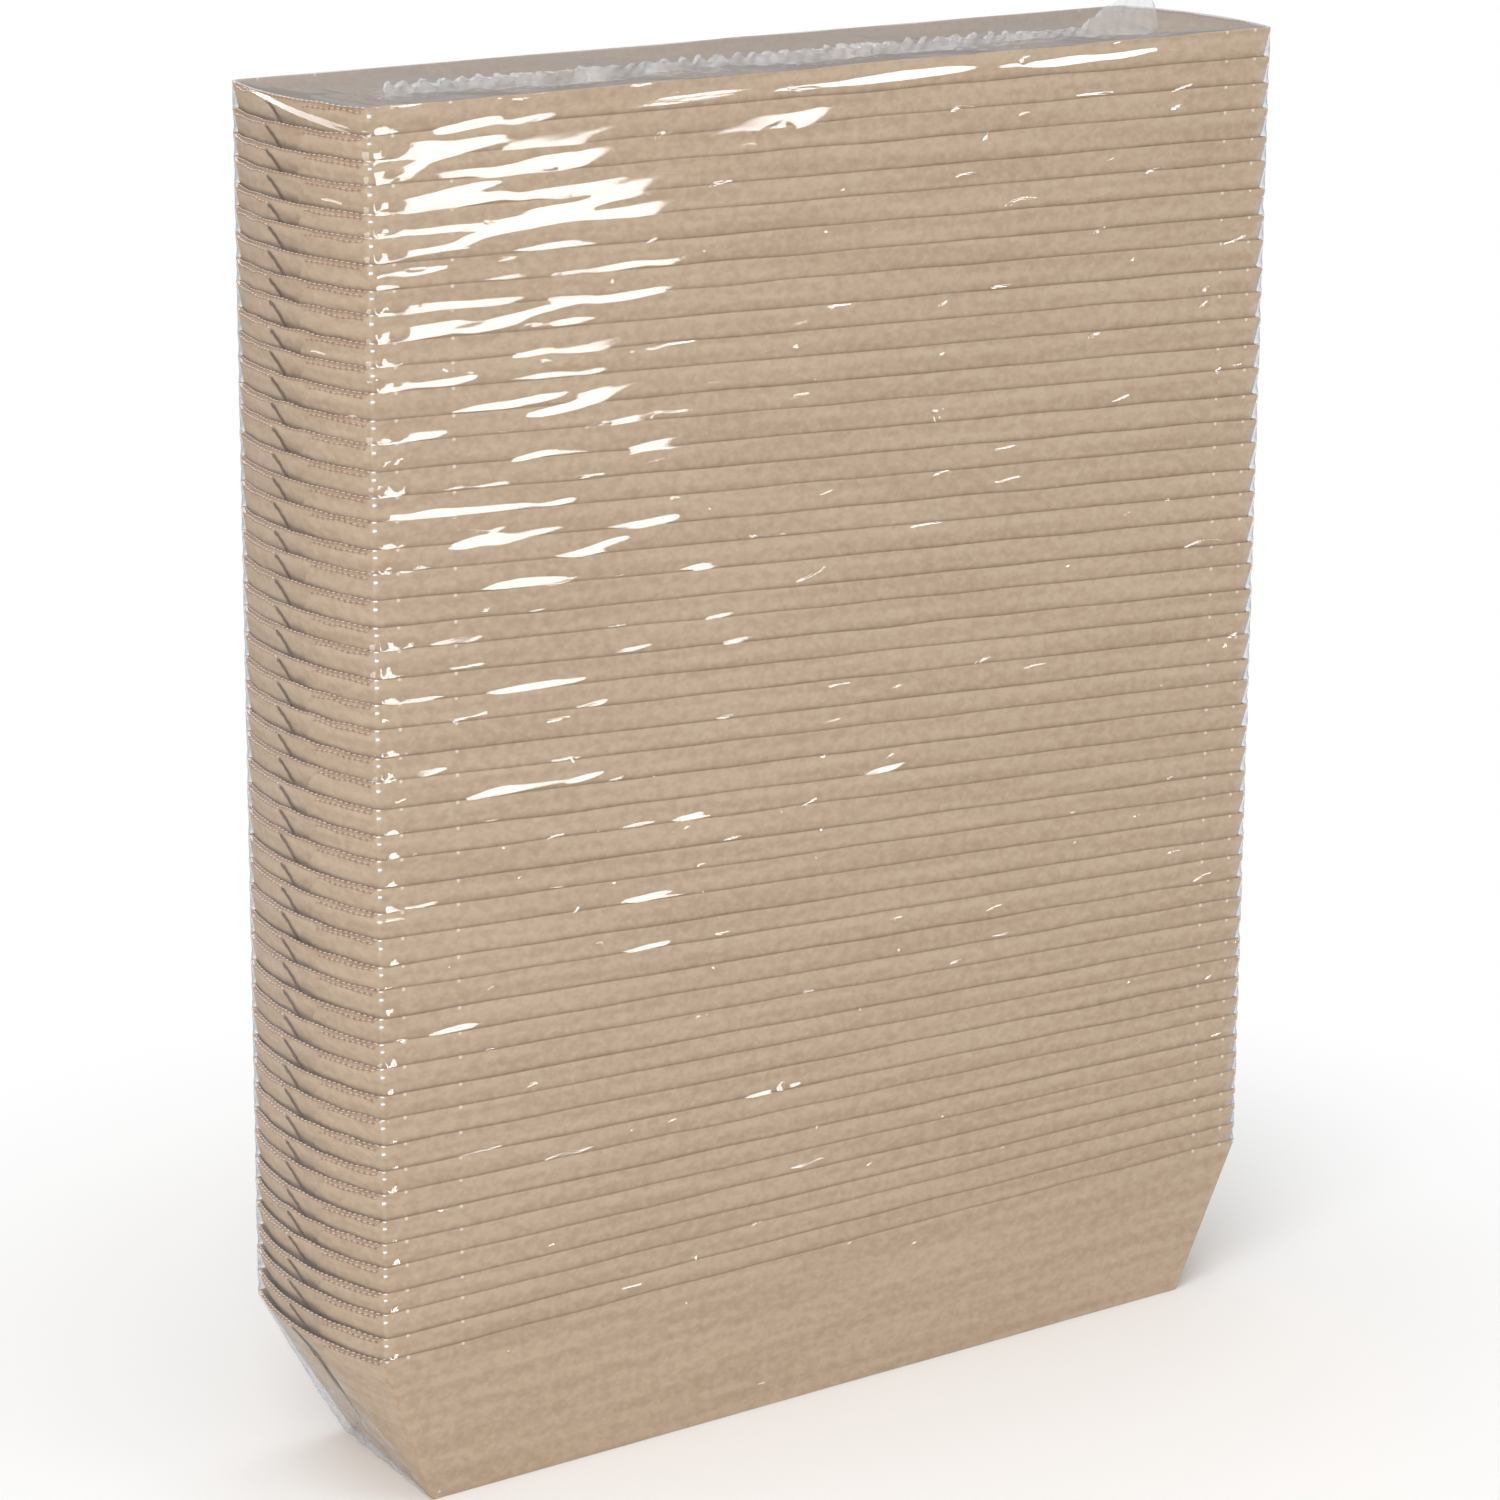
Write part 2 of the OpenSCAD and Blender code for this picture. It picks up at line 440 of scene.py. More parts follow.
def wrap_sheet(form, side):
    """One long wall with its two flaps, as a strip of columns that runs from a flap's
    free edge round the corner, along the wall, round the next corner and to the other
    free edge. Each column is a rising line from the lower edge to the upper edge."""
    h = form.height
    seam = (-0.75 if side < 0 else -0.25) * MM
    first = seam * side / form.half_width(0.6)
    near = 1 - CORNER_TURN / form.rim_y
    across = spread([first, 0.34, near], [28, 50])
    along = spread([-1, -0.94, 0.94, 1], [4, 36, 4])
    along[0] += CORNER_TURN / form.rim_x
    along[-1] -= CORNER_TURN / form.rim_x
    share = np.linspace(0, 1, 5)[1:-1]

    def strip(flap, corner, wall):
        """One value per column: the left flap's, a corner's, the wall's, the other
        corner's and the right flap's."""
        turn = corner + 0 * share
        return np.concatenate([flap, turn, wall, turn, flap[::-1]])

    flap_low, flap_high, teeth = flap_edges(form, side, across, seam)
    wall_top = h + 0.08 * MM * wander(along * form.rim_x, form.seed * 3.0, 0.04, 5.0, 17)
    low = strip(flap_low, 0, 0 * along)
    high = strip(flap_high, h, wall_top)
    rows = np.array([0, 0.5, 0.85, 0.95, 0.986, 1.0])[:, None]
    z = low + (high - low) * rows
    t = z / h
    n, k = len(across), len(share)
    cuts = np.cumsum([n, k, len(along), k])
    # The back flaps' free edges stand off the wall a little.
    lift = 0.75 * MM * np.clip(1 - (across - first) / 0.3, 0, 1) ** 3 * (side > 0)

    def faces(end_inset, side_inset):
        """Points of the strip's face, moved in by one amount at the ends and another at
        the wall. A corner is a curve from the end face to the wall, drawn by the corner
        that the two would meet in."""
        t_l, t_lc, t_w, t_rc, t_r = np.split(t, cuts, axis=1)
        out = []
        for left, t_flap, t_corner in ((True, t_l, t_lc), (False, t_r, t_rc)):
            a = across if left else across[::-1]
            raised = (lift if left else lift[::-1] * 0.4) * np.clip(t_flap * 1.2, 0, 1)
            x, y = form.end(side * a, t_flap, left, end_inset)
            x = x + raised
            y = y - side * side_inset * a
            ex, ey = form.end(side * near + 0 * t_corner, t_corner, left, end_inset)
            sign = -1 if left else 1
            wx, wy = form.wall(sign * (1 - CORNER_TURN / form.rim_x) + 0 * t_corner,
                               t_corner, side, side_inset)
            cx, _ = form.end(side * 1.0 + 0 * t_corner, t_corner, left, end_inset)
            cy = side * (form.half_width(t_corner) - side_inset)
            ey = ey - side * side_inset * near
            q = share if left else share[::-1]
            bx = (1 - q) ** 2 * sign * ex + 2 * q * (1 - q) * sign * cx + q**2 * wx
            by = (1 - q) ** 2 * ey + 2 * q * (1 - q) * cy + q**2 * wy
            out.append(((sign * x, y), (bx, by)))
        wall = form.wall(along, t_w, side, side_inset)
        xs = np.hstack([out[0][0][0], out[0][1][0], wall[0], out[1][1][0], out[1][0][0]])
        ys = np.hstack([out[0][0][1], out[0][1][1], wall[1], out[1][1][1], out[1][0][1]])
        return form.place(xs, ys, z)

    outer = faces(0.0, 0.0)
    inner = faces(form.end_layer * 0.94, form.side_layer)
    # The grain runs along the sheet: along the wall and on round the corners.
    x_wall = outer[..., 0]
    far = form.rim_x + (form.rim_y - np.abs(outer[..., 1]))
    column = np.arange(z.shape[1])
    is_flap = (column < n) | (column >= z.shape[1] - n)
    u = np.where(is_flap, np.sign(x_wall) * far, x_wall)
    grain = np.stack([u + side * 0.5 + form.seed, z - h], axis=-1)
    # Cut marks: 1 on sawn edges, up to 2 at their tips, where a highlight is painted,
    # and -1 in the back flap's edge along the slit and the notch, where shade is painted.
    tips = strip(1 - teeth / FLAP_TEETH, 0, 0 * along)
    y_top = across * form.rim_y
    wide = form.gap(side) + 1.2 * MM * (side > 0)
    notch = strip(y_top < wide, 0, 0 * along)
    slit = strip(across < across[2], 0, 0 * along)
    # Painted shade: the back flap's edge along the slit and the notch is marked to be coloured dark.
    painted_slit_shade = np.maximum(slit, notch * (rows > 0.95)) * (side > 0) * (z > h - 6 * MM)
    cut = np.where(painted_slit_shade > 0, -1.0, (rows == 1) * (is_flap + tips) * (1 - notch))
    return board_sheet(outer, inner, grain, form.above(outer), cut)


def end_sheet(form, left):
    """An end wall behind the flaps: lines across from corner to corner, from the
    straight fold at the base to a bowed and serrated rim."""
    h = form.height
    across = np.linspace(-1, 1, 161)
    y_top = across * form.rim_y
    teeth = saw_edge(y_top + 0.37 * MM * form.seed, END_PITCH, END_TEETH)
    wave = 0.1 * MM * wander(y_top, form.seed * 5.0, 0.012, 9.0, 37)
    high = h - teeth - wave * (1 - across**8)
    rows = np.array([0, 0.85, 0.984, 1.0])[:, None]
    low = 0.25 * MM
    z = low + (high - low) * rows
    t = z / h
    sign = -1 if left else 1

    def face(inset):
        """Points of the wall's face, moved in by an amount."""
        x, y = form.end(across, t, left, inset)
        y = y * (1 - 0.02 * MM / form.rim_y) - across * form.side_layer
        return form.place(sign * x, y, z)

    outer = face(form.end_layer)
    inner = face(form.end_layer * 2)
    grain = np.stack([outer[..., 1] + 0.9 * sign + form.seed, z - h], axis=-1)
    # Cut marks: 1 to 2 along the sawn rim, with a painted highlight at the teeth's tips.
    cut = (rows == 1) * (2 - teeth / END_TEETH)
    return board_sheet(outer, inner, grain, form.above(outer), cut)


def base_sheet(form):
    """The flat base: straight lines from the left end's fold to the right end's."""
    across = np.linspace(-1, 1, 7)[None, :]
    along = np.linspace(0, 1, 13)[:, None]
    half = form.base_y - form.side_layer * 0.98
    x_right = form.base_x - form.end_layer * 1.9
    x_left = -x_right + form.push * (across + 1) / 2
    x = x_left + (x_right - x_left) * along
    y = across * half + 0 * along
    lower = form.place(x, y, 0 * x + 0.01 * MM)
    upper = form.place(x, y, 0 * x + form.sizes.board)
    grain = np.stack([x + form.seed, y - 40 * MM], axis=-1)
    return board_sheet(lower, upper, grain, form.above(lower))


class TraySizes(bpy.types.PropertyGroup):
    """Sizes and colours of the board trays."""

    rim_length: FloatProperty(
        name="Rim length", description="Length of a tray along its rim, corner to corner",
        default=0.2, min=0.1, max=0.4, subtype="DISTANCE", unit="LENGTH")
    rim_width: FloatProperty(
        name="Rim width", description="Width of a tray across its rim",
        default=0.043, min=0.02, max=0.1, subtype="DISTANCE", unit="LENGTH")
    tray_height: FloatProperty(
        name="Tray height", description="Height of a tray from base to rim",
        default=0.03, min=0.02, max=0.06, subtype="DISTANCE", unit="LENGTH")
    side_lean: FloatProperty(
        name="Side lean", description="Lean of the long walls from upright",
        default=math.radians(5.7), subtype="ANGLE", unit="ROTATION")
    end_lean: FloatProperty(
        name="End lean", description="Lean of the end walls from upright",
        default=math.radians(21.1), subtype="ANGLE", unit="ROTATION")
    flap_rise: FloatProperty(
        name="Flap rise", description="Rise of the flaps' lower edges towards the middle",
        default=math.radians(30), subtype="ANGLE", unit="ROTATION")
    end_bow: FloatProperty(
        name="End bow", description="How far the middle of an end's rim bows out",
        default=0.0038, subtype="DISTANCE", unit="LENGTH")
    board: FloatProperty(
        name="Board", description="Thickness of the board",
        default=0.0003, precision=5, subtype="DISTANCE", unit="LENGTH")
    front_gap: FloatProperty(
        name="Front flap gap", description="Middle line to the front flap's edge at the rim",
        default=0.0065, subtype="DISTANCE", unit="LENGTH")
    back_gap: FloatProperty(
        name="Back flap gap", description="Middle line to the back flap's edge at the rim",
        default=0.0042, subtype="DISTANCE", unit="LENGTH")
    push_in: FloatProperty(
        name="Push in", description="How far the lowest tray's back left corner is pushed in",
        default=0.006, subtype="DISTANCE", unit="LENGTH")
    upright: FloatProperty(
        name="Upright", description="How far the film bends the flared ends upright",
        default=0.00085, precision=5, subtype="DISTANCE", unit="LENGTH")
    slump: FloatProperty(
        name="Slump", description="How far the right ends in mid-stack sit below the left",
        default=0.011255, precision=5, subtype="DISTANCE", unit="LENGTH")
    kraft: FloatVectorProperty(
        name="Kraft", description="Colour of the board, linear light",
        size=4, default=colour(0xC1AA91), min=0, max=1, subtype="COLOR")
    # The darker kraft: the tone of the mottle and stripes, and also the painted shade where a tray
    # is tucked into the one below.
    kraft_dark_and_shade: FloatVectorProperty(
        name="Kraft in the gaps", description="Colour of the board where a tray is tucked in",
        size=4, default=colour(0xA48B71), min=0, max=1, subtype="COLOR")


class FilmSizes(bpy.types.PropertyGroup):
    """Sizes and looks of the shrink film."""

    clearance: FloatProperty(
        name="Clearance", description="Space from the rims to the film's outer face",
        default=0.00016, precision=5, subtype="DISTANCE", unit="LENGTH")
    slack: FloatProperty(
        name="Slack", description="How far the film dips between two rims",
        default=0.0001, precision=5, subtype="DISTANCE", unit="LENGTH")
    sag: FloatProperty(
        name="Sag", description="How far the film sags into the top tray",
        default=0.0022, precision=4, subtype="DISTANCE", unit="LENGTH")
    push_in: FloatProperty(
        name="Push in", description="How far the film follows the pushed-in corner",
        default=0.0045, precision=4, subtype="DISTANCE", unit="LENGTH")
    hem: FloatProperty(
        name="Hem", description="How far the film turns in under the lowest tray",
        default=0.008, subtype="DISTANCE", unit="LENGTH")
    haze: FloatProperty(
        name="Haze", description="Share of white haze in smooth film",
        default=0.012, min=0, max=1, subtype="FACTOR")
    haze_tone: FloatVectorProperty(
        name="Haze tone", description="Colour of the haze, linear light",
        size=4, default=colour(0xD5DBE2), min=0, max=1, subtype="COLOR")
    edge_tone: FloatVectorProperty(
        name="Edge-on tone", description="Colour of the film seen edge-on, linear light",
        size=4, default=colour(0xC0C6D0), min=0, max=1, subtype="COLOR")
    # The flat top's grey is painted shade: the dim inside of the top tray seen through the film.
    top_shade_tone: FloatVectorProperty(
        name="Top tone", description="Colour of the film's flat top, linear light",
        size=4, default=colour(0x908B87), min=0, max=1, subtype="COLOR")


class StudioSizes(bpy.types.PropertyGroup):
    """Light levels of the studio."""

    soft_light: FloatProperty(
        name="Soft light", description="Strength of the even light from all round",
        default=0.515, min=0, max=3)
    lamp_level: FloatProperty(
        name="Lamp level", description="Scale of the soft lamps' power",
        default=1.0, min=0, max=5)
    glint_level: FloatProperty(
        name="Glint level", description="Scale of the strip lamps that only gloss shows",
        default=1.0, min=0, max=5)


def kraft_material(sizes):
    """Uncoated kraft: mottled pulp in soft stripes along the sheet, short fibres, brown
    cut edges with a painted highlight on their tips, a painted highlight at each torn
    nick place on the rims, painted shade in the gaps and crevices where a tray is
    tucked in, and painted shade on the back flap's edge along the slit and the notch."""
    material, w = new_material("kraft_board")
    uv = w.node("ShaderNodeUVMap", uv_map="grain")
    depth = uv.axis(1)
    along = w.place().axis(0)
    cut = w.mark("cut")
    above = w.mark("above")
    mottle = uv.stretch(380.0, 520.0, 1.0).noise(1.0, 2.0, 0.6)
    stripes = uv.stretch(20.0, 480.0, 1.0).noise(1.0, 0.0)
    fibres = uv.stretch(900.0, 1200.0, 1.0).noise(1.0, 1.0, 0.5)
    # Painted shade: the board darkens towards where it is tucked into the tray below.
    painted_tuck_shade = above.fade(0.0, 4.5 * MM, 1.0, 0.0)
    # Painted shade: a darker line in the crevice just above that rim.
    painted_crevice_shade = above.fade(0.05 * MM, 0.8 * MM, 1.0, 0.0)
    # Painted highlights: pale spots on the rims at the nick places.
    rim = depth.fade(-0.6 * MM, -0.35 * MM)
    nick_highlights = 0.0
    for x in NICK_HIGHLIGHT_PLACES:
        nick_highlights = along.near(x, 0.15 * MM, 0.45 * MM) + nick_highlights
    # The darker tone mixes the board's own mottle and stripes with the painted tuck shade.
    dark_tone_and_shade = painted_tuck_shade * 0.12 + stripes.fade(0.25, 0.75) * 0.32 + mottle.fade(0.3, 0.7) * 0.4 - 0.1
    tone = dark_tone_and_shade.blend(sizes.kraft[:], sizes.kraft_dark_and_shade[:])
    tone = tone.tint(PALE_FIBRE, fibres.fade(0.5, 0.8) * 0.1)
    tone = tone.tint(DARK_FIBRE, fibres.fade(0.5, 0.2) * 0.1)
    tone = tone.tint(CREVICE_SHADE, painted_crevice_shade * 0.1)
    tone = tone.tint(CUT_EDGE, cut.fade(0.2, 0.6) * 0.5)
    # Painted highlight: the teeth's tips are lightened towards white.
    tone = tone.tint(TOOTH_TIP_HIGHLIGHT, cut.fade(1.5, 1.8) * 0.7)
    # Painted shade on the back flap's edge along the slit and the notch.
    tone = tone.tint(SHADED_EDGE, cut.fade(-0.3, -0.9) * 0.8)
    tone = tone.tint(NICK_HIGHLIGHT, rim * nick_highlights * 0.6)
    close_material(w.node("ShaderNodeBsdfPrincipled", {
        "Base Color": tone, "Roughness": 0.82, "Specular IOR Level": 0.0}))
    return material


def film_material(sizes):
    """Clear shrink film: see-through, with a gloss that grows towards its edges, a slight
    haze that thickens in crumples with painted highlights among its specks, painted
    highlight dots where it touches the board's corners, painted grey-blue shade over
    hollows, a painted grey shade on its flat top, and a grey edge-on look."""
    material, w = new_material("clear_film")
    place = w.place()
    touch = w.mark("touch")
    crumple = w.mark("crumple")
    flat_top = w.mark("flat_top")
    gap = w.mark("gap")
    below = w.mark("below")
    # Ripples and creases are long along the trays and short upwards.
    ripples = place.turned(1.5).stretch(15.0, 60.0, 230.0).noise(1.0, 1.0, 0.4)
    creases = place.turned(12.0).stretch(17.0, 60.0, 200.0).noise(1.0, 1.0, 0.4)
    swell = place.stretch(34.0, 60.0, 60.0).noise(1.0, 0.0)
    dimples = place.stretch(110.0, 100.0, 330.0).noise(1.0, 0.0).fade(0.72, 0.82)
    fine = place.noise(520.0, 1.0, 0.6)
    # Two stretch folds below the top rim: a long one in front, whose top edge rises to
    # the right, and a slanting one at the left end.
    x = place.axis(0)
    y = place.axis(1)
    fold_top = x.fade(-50 * MM, 60 * MM, 2.4 * MM, 0.6 * MM)
    fold_foot = 3.7 * MM
    fold = (below + swell * 1.2 * MM - 0.6 * MM).fade(fold_top, fold_foot)
    fold = fold * below.fade(5.2 * MM, 3.8 * MM) * (fold_foot - fold_top) * 170.0
    fold = fold * x.fade(-55 * MM, -35 * MM) * y.fade(-18 * MM, -20 * MM)
    slant = (below + y * 0.145).near(2.0 * MM, 0.0, 1.4 * MM)
    slant = slant * x.fade(-99 * MM, -100 * MM) * below.fade(0.0, 0.6 * MM)
    height = (ripples * 0.5 + creases * 0.44 + swell * 0.8 + dimples * 0.16
              + fine * crumple * 0.35 + fold + slant * 0.5)
    bump = w.node("ShaderNodeBump", {"Strength": 1.0, "Distance": 1.0 * MM, "Height": height})
    edge_on = w.node("ShaderNodeLayerWeight", {"Blend": 0.5}, out=1).fade(0.72, 0.9)
    # In crumples the film's specks are its own whitened haze, and also painted highlights.
    haze_and_glint_specks = fine.fade(0.52, 0.6)
    # Painted highlight: white dots where the film touches the board's corners.
    corner_glint_dots = touch.fade(0.45, 0.75)
    # The haze share adds the painted highlight dots and painted shades to the film's own haze.
    haze = (corner_glint_dots * 0.9 + gap * 0.65 + crumple * (haze_and_glint_specks * 0.7 + 0.25)
            + sizes.haze + edge_on * 0.45 + flat_top * 0.5)
    tone = edge_on.blend(sizes.haze_tone[:], sizes.edge_tone[:])
    # Painted shade: grey-blue where the film spans a hollow behind it.
    tone = tone.tint(FILM_HOLLOW_SHADE, gap)
    # Painted shade: the flat top's grey tone stands in for the dim tray inside.
    tone = tone.tint(sizes.top_shade_tone[:], flat_top - crumple * haze_and_glint_specks)
    # Painted highlights: the white corner dots, and part of the crumples' specks.
    tone = tone.tint(WHITE, corner_glint_dots + crumple * haze_and_glint_specks * 0.6)
    clear = w.node("ShaderNodeBsdfTransparent", {"Color": (0.965, 0.97, 0.975, 1.0)})
    milky = w.node("ShaderNodeBsdfPrincipled", {
        "Base Color": tone, "Roughness": 0.5, "Normal": bump, "Specular IOR Level": 0.0})
    body = w.node("ShaderNodeMixShader", {0: haze.math("MINIMUM", 0.9), 1: clear, 2: milky})
    gloss = w.node("ShaderNodeBsdfGlossy", {"Color": WHITE, "Roughness": 0.05, "Normal": bump})
    # The limit keeps the film's inner face from reflecting totally.
    mirror = w.node("ShaderNodeFresnel", {"IOR": 1.45}).math("MINIMUM", 0.09)
    close_material(w.node("ShaderNodeMixShader", {0: mirror, 1: body, 2: gloss}))
    return material


class OBJECT_OT_nested_trays(bpy.types.Operator):
    """Folds one detailed board tray for each tray of the frame"""

    bl_idname = "object.nested_trays"
    bl_label = "Nested Trays"

    def execute(self, context):
        sizes = context.scene.tray_sizes
        material = kraft_material(sizes)
        for name, form in zip(TRAYS, stack_forms(sizes)):
            sheets = [wrap_sheet(form, -1), wrap_sheet(form, 1), end_sheet(form, True),
                      end_sheet(form, False), base_sheet(form)]
            points, quads, uv, marks = join_sheets(sheets)
            marks = {"cut": marks[:, 0], "above": marks[:, 1]}
            piece = make_piece("board_" + name, points, quads, material,
                               marks, uv)
            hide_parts(name)
        return {"FINISHED"}


def skip_shadows(piece):
    """Lets soft light and shadows pass a clear film as if it weren't there."""
    piece.visible_shadow = False
    piece.visible_diffuse = False


def film_ring(form, clearance, t):
    """Plan of the film at each share t of the lowest tray's height: front side, right
    end, back side and left end in turn, a clearance outside the tray's form, with each
    corner turned on a short curve between its two sides."""
    side = spread([-1, -0.9, 0.9, 1], [6, 68, 6])
    side[0] += FILM_CORNER_TURN / form.rim_x
    side[-1] -= FILM_CORNER_TURN / form.rim_x
    across = np.linspace(-1, 1, 25)[1:-1]
    turn = np.linspace(0, 1, 6)[1:-1]

    def end_run(left, places):
        """Points of an end, which share the clearance out over its width."""
        x, y = form.end(places, t, left, -clearance)
        return (-x if left else x), y + places * clearance

    def corner(first, second, tip):
        """A curve from one side to the next, drawn by the corner they would meet in."""
        return [(1 - turn) ** 2 * a + 2 * turn * (1 - turn) * c + turn**2 * b
                for a, b, c in zip(first, second, tip)]

    front = form.wall(side, t, -1, -clearance)
    back = [run[:, ::-1] for run in form.wall(side, t, 1, -clearance)]
    right = end_run(False, across)
    left = [run[:, ::-1] for run in end_run(True, across)]
    runs = [front, right, back, left]
    tips = [end_run(False, -1.0), end_run(False, 1.0), end_run(True, 1.0),
            end_run(True, -1.0)]
    parts = []
    for k, run in enumerate(runs):
        after = runs[(k + 1) % 4]
        parts.append(run)
        parts.append(corner([v[:, -1:] for v in run], [v[:, :1] for v in after], tips[k]))
    return [np.hstack([part[axis] for part in parts]) for axis in (0, 1)]


def per_row(band, bands, low_rows):
    """One value for each row of the film's sides: none beside the lowest tray, the same
    run of values from each rim to the next, and none on the top rim."""
    return np.concatenate([np.zeros(low_rows), np.tile(band, bands), [0.0]])[:, None]


def film_marks(points, **values):
    """A part's marks: the values given for it, and 0 for the other marks."""
    return {name: values.get(name, 0.0) + 0 * points[..., 0] for name in FILM_MARKS}


def film_sides(trays, sizes, forms, low_form):
    """The film's upright part: rows that follow the lowest tray up to its rim, then rows
    that follow the leaning rims and dip between them. Returns its points, its marks, and
    the places along X and Z of its top row before any dip."""
    x_rim, y_rim = film_ring(low_form, sizes.clearance, np.array([[1.0]]))
    rims = np.array([form.rim - x_rim[0] * math.sin(form.lean) for form in forms])
    steps = np.diff(rims, axis=0)[:, None, :]
    z_bands = rims[:-1, None, :] + steps * BAND_ROWS[None, :, None]
    z_up = np.vstack([z_bands.reshape(-1, x_rim.shape[1]), rims[-1:]])
    t_low = np.linspace(0, 1, 31)[:-1, None]
    x_low, y_low = film_ring(low_form, sizes.clearance, t_low)
    z_low = t_low * low_form.rim + 0.05 * MM * (1 - t_low) + 0 * x_low
    x = np.vstack([x_low, x_rim + 0 * z_up])
    y = np.vstack([y_low, y_rim + 0 * z_up])
    z = np.vstack([z_low, z_up])
    bands = len(forms) - 1
    dip = per_row(np.sin(math.pi * BAND_ROWS**0.75) ** 2, bands, len(t_low))
    touch = per_row(BAND_GLINT_DOTS, bands, len(t_low))
    hollow_shade = per_row(BAND_HOLLOW_SHADE, bands, len(t_low))
    # The dips are deeper at the corners, and on the front and back near the left end.
    is_end = np.clip((np.abs(x_rim) - trays.rim_length / 2 + 3 * MM) / (3 * MM), 0, 1)
    loose = 1 + 0.7 * wander(x + 3 * y, z, 0.06, 0.012, 5)
    pull = dip * sizes.slack * loose
    corner = np.exp(-((np.abs(y_rim) - trays.rim_width / 2) / (1.2 * MM)) ** 2) * is_end
    beside = np.exp(-((x + 97 * MM) / (2.2 * MM)) ** 2)
    y = y - np.sign(y) * pull * (1 - is_end + 2.5 * beside) + wall_pull(low_form, x, y, z)
    x = x - np.sign(x) * pull * (0.4 * is_end + 2.5 * corner)
    # Beside the lowest tray it stands off the long walls and buckles at the left end.
    low = np.clip(1 - z / low_form.rim, 0, 1)
    belly = np.sin(math.pi * low) * (0.3 * MM + 0.2 * MM * wander(x, z, 0.04, 0.02, 8))
    y = y + np.sign(y) * belly * (1 - is_end)
    loose_end = np.clip((low - 0.05) * 3, 0, 1) * np.clip(low * 4, 0, 1) * is_end
    x = x - 0.14 * MM * wander(x + y, z, 0.012, 0.009, 9) * loose_end * (x < 0)
    patches = 0.12 + 0.6 * np.clip(wander(y, z, 0.014, 0.02, 10) - 0.3, 0, 1)
    white = loose_end * (x < 0) * np.clip(0.3 + 30 * y, 0, 1) * patches
    # Painted highlights: white dots where the corners touch. Painted shade: a hazy
    # grey-blue border where there is a hollow behind.
    off = (np.abs(y_rim) - trays.rim_width / 2) / MM
    corner_glint_dots = np.exp(-(off / 0.3) ** 2) * is_end
    hollow_shade_border = np.exp(-(off / 1.1) ** 2) * is_end * (x_rim * y_rim < 0)
    points = np.stack([x, y, z], axis=-1)
    marks = film_marks(points, touch=touch * corner_glint_dots, gap=hollow_shade * hollow_shade_border, crumple=white,
                       below=rims[-1] - z)
    return points, marks, x_rim, rims[-1]


def film_hem(sides, sizes, low_form):
    """Rows that run inwards under the base, from the opening's edge to the lowest row of
    the sides. Returns points and marks."""
    inwards = np.linspace(1, 0, 6)[:-1][:, None]
    x = sides[0, :, 0] * (1 - inwards * sizes.hem / low_form.base_x)
    y = sides[0, :, 1] * (1 - inwards * sizes.hem / low_form.base_y)
    points = np.stack([x, y, 0 * x + 0.04 * MM], axis=-1)
    return points, film_marks(points, below=FAR_BELOW, crumple=0.2)


def film_top(sides, x_rim, z_rim, sizes):
    """Rows that run from the top rim in to a middle line, and sag and fold on the way.
    Returns points and marks."""
    w = np.concatenate([[0.004, 0.014, 0.03, 0.06], np.linspace(0.1, 1, 26)])[:, None]
    line = np.clip(x_rim, WELD_LEFT, WELD_RIGHT)
    x = sides[-1, :, 0] * (1 - w) + line * w
    y = sides[-1, :, 1] * (1 - w)
    bend = sizes.clearance * (1 - (1 - np.clip(w / 0.03, 0, 1)) ** 2)
    sag = sizes.sag * (1 + 0.35 * wander(line, w, 0.05, 3.0, 3))
    fold = 0.45 * MM * wander(x, y * 0.4, 0.008, 0.03, 21) * w * (1 - 0.4 * w)
    z = z_rim + bend - sag * (2 * w - w**2) * np.clip(w / 0.06, 0, 1) + fold
    points = np.stack([x, y, z], axis=-1)
    return points, film_marks(points, flat_top=np.clip(w * 20, 0, 1), crumple=w**4 * 0.15)


class OBJECT_OT_shrink_film(bpy.types.Operator):
    """Draws the clear film hood tight over the rims, with its hem and its sagging top"""

    bl_idname = "object.shrink_film"
    bl_label = "Shrink Film"

    def execute(self, context):
        trays = context.scene.tray_sizes
        sizes = context.scene.film_sizes
        forms = stack_forms(trays)
        low_form = TrayForm(trays, forms[0].rim, sizes.push_in)
        sides, side_marks, x_rim, z_rim = film_sides(trays, sizes, forms, low_form)
        hem, hem_marks = film_hem(sides, sizes, low_form)
        top, top_marks = film_top(sides, x_rim, z_rim, sizes)
        points = np.vstack([hem, sides, top])
        quads = grid_quads(points.shape[0], points.shape[1], wrap=True)
        marks = {name: np.vstack([hem_marks[name], side_marks[name], top_marks[name]])
                 for name in FILM_MARKS}
        piece = make_piece("film_hood", points.reshape(-1, 3), quads, film_material(sizes),
                           marks)
        skip_shadows(piece)
        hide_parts("shrink_film")
        return {"FINISHED"}


